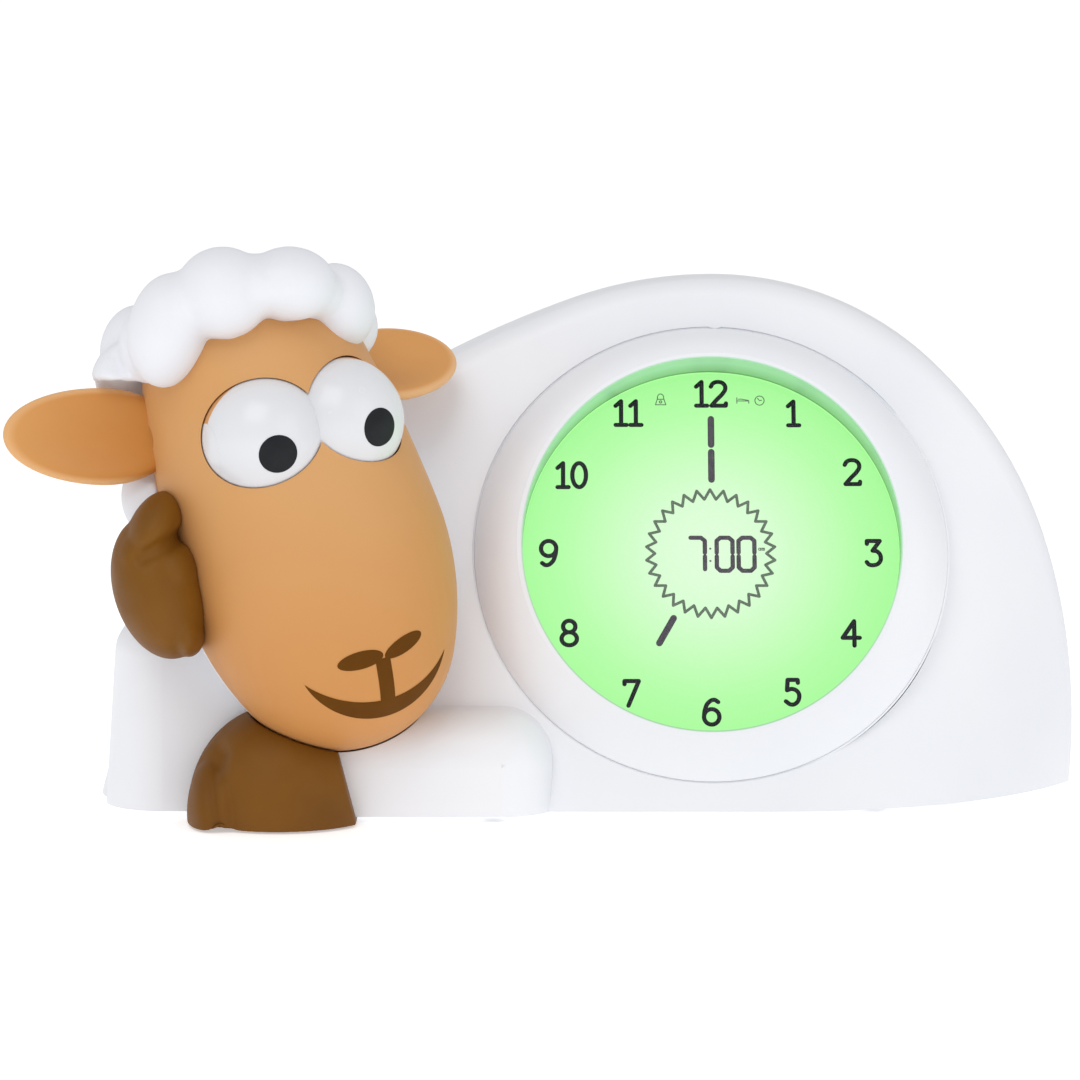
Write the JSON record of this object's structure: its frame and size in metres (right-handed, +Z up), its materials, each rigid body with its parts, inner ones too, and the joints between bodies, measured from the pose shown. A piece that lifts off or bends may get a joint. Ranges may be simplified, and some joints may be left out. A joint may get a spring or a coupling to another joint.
{
  "type": "alarm clock",
  "caption": "Children's alarm clock with night light: white hill-shaped body, round lit dial, and a tan sheep's head with white fleece resting on brown hooves.",
  "frame": {"origin": "on the surface it stands on, under the middle of the bounding box", "axes": "+X from the left ear's tip to the right side of the hill, +Y from the dial to the back, +Z up"},
  "size_m": [0.2656, 0.1348, 0.142],
  "materials": {
    "white_casing": "satin white moulding",
    "white_buttons": "satin white",
    "fleece": "soft white, rounded",
    "tan_face": "soft-touch tan",
    "tan_ear": "soft-touch tan",
    "tan_lid": "soft-touch tan",
    "brown_hoof": "soft-touch brown",
    "brown_inlay": "soft brown",
    "eye_white": "satin white",
    "pupil_black": "black",
    "clear_window": "clear acrylic",
    "display": "lit green display",
    "light_guide": "milky",
    "led_body": "clear yellow",
    "contact_rubber": "striped elastomer",
    "circuit_board": "green solder mask",
    "black_parts": "black moulding",
    "screws": "zinc plated",
    "pins": "ground steel",
    "feet": "grey rubber",
    "inner_plastic": "grey-white",
    "gears": "natural nylon",
    "cells": "plain green sleeve",
    "contacts": "nickel plated",
    "speaker_steel": "pressed steel",
    "speaker_paper": "black paper",
    "motor_can": "drawn steel"
  },
  "bodies": {
    "clock": {"front_shell": "white_casing", "rear_shell": "white_casing", "dial_bezel": "white_casing", "base_plate": "white_casing", "fleece_shell": "fleece", "face_shell": "tan_face", "left_ear": "tan_ear", "right_ear": "tan_ear", "raised_hoof": "brown_hoof", "front_hoof": "brown_hoof", "nose_and_mouth": "brown_inlay", "display_window": "clear_window", "lcd_panel": "display", "diffuser": "light_guide", "light_box": "light_guide", "backlight_leds": "led_body", "contact_strip": "contact_rubber", "main_board": "circuit_board", "button_board": "circuit_board", "board_components": "black_parts", "dc_socket": "black_parts", "limit_switch": "black_parts", "tact_switches": "black_parts", "base_screws": "screws", "shell_screws": "screws", "bezel_screws": "screws", "board_screws": "screws", "button_board_screws": "screws", "neck_screws": "screws", "bracket_screws": "screws", "idler_pin": "pins", "rubber_feet": "feet", "battery_tray": "inner_plastic", "eye_bracket": "inner_plastic", "batteries": "cells", "battery_contacts": "contacts", "speaker_frame": "speaker_steel", "speaker_magnet": "speaker_steel", "speaker_cone": "speaker_paper", "eye_motor": "motor_can"},
    "battery_cover": {"battery_door": "white_casing", "battery_door_screw": "screws"},
    "eye_roller": {"eyes": "eye_white", "eyelids": "tan_lid", "left_pupil": "pupil_black", "right_pupil": "pupil_black", "eye_shaft": "pins", "eye_gear": "gears"},
    "idler": {"idler_gear": "gears"},
    "pinion": {"motor_pinion": "gears"},
    "time_button_body": {"time_button": "white_buttons"},
    "alarm_button_body": {"alarm_button": "white_buttons"},
    "wake_button_body": {"wake_button": "white_buttons"},
    "light_button_body": {"light_button": "white_buttons"},
    "minus_button_body": {"minus_button": "white_buttons"},
    "plus_button_body": {"plus_button": "white_buttons"},
    "night_light_button_body": {"night_light_button": "white_buttons"}
  },
  "joints": [
    {"name": "eyes_roll", "type": "hinge", "parent": "clock", "child": "eye_roller", "pos_m": [-0.05925, -0.04831, 0.09724], "axis": [0.9083, 0.3823, 0.1701], "range_deg": [0, 108]},
    {"name": "idler_turn", "type": "hinge", "parent": "clock", "child": "idler", "pos_m": [-0.06341, -0.0374, 0.09497], "axis": [0.9083, 0.3823, 0.1701], "range_deg": [-200, 0]},
    {"name": "pinion_turn", "type": "hinge", "parent": "clock", "child": "pinion", "pos_m": [-0.06635, -0.02969, 0.09336], "axis": [0.9083, 0.3823, 0.1701], "range_deg": [0, 200]},
    {"name": "battery_cover_slide", "type": "slide", "parent": "clock", "child": "battery_cover", "axis": [0, 0.9903, 0.1392], "range_m": [0, 0.03]},
    {"name": "time_button_press", "type": "slide", "parent": "clock", "child": "time_button_body", "axis": [0, -0.9903, -0.1392], "range_m": [0, 0.0008], "stiffness_N_per_m": 400},
    {"name": "alarm_button_press", "type": "slide", "parent": "clock", "child": "alarm_button_body", "axis": [0, -0.9903, -0.1392], "range_m": [0, 0.0008], "stiffness_N_per_m": 400},
    {"name": "wake_button_press", "type": "slide", "parent": "clock", "child": "wake_button_body", "axis": [0, -0.9903, -0.1392], "range_m": [0, 0.0008], "stiffness_N_per_m": 400},
    {"name": "light_button_press", "type": "slide", "parent": "clock", "child": "light_button_body", "axis": [0, -0.9903, -0.1392], "range_m": [0, 0.0008], "stiffness_N_per_m": 400},
    {"name": "minus_button_press", "type": "slide", "parent": "clock", "child": "minus_button_body", "axis": [0, -0.9903, -0.1392], "range_m": [0, 0.0008], "stiffness_N_per_m": 400},
    {"name": "plus_button_press", "type": "slide", "parent": "clock", "child": "plus_button_body", "axis": [0, -0.9903, -0.1392], "range_m": [0, 0.0008], "stiffness_N_per_m": 400},
    {"name": "night_light_button_press", "type": "slide", "parent": "clock", "child": "night_light_button_body", "axis": [0, -0.9903, -0.1392], "range_m": [0, 0.0008], "stiffness_N_per_m": 400}
  ],
  "couplings": [
    {"joint": "idler_turn", "follows": "eyes_roll", "ratio": -1.8333},
    {"joint": "pinion_turn", "follows": "eyes_roll", "ratio": 1.8333}
  ]
}
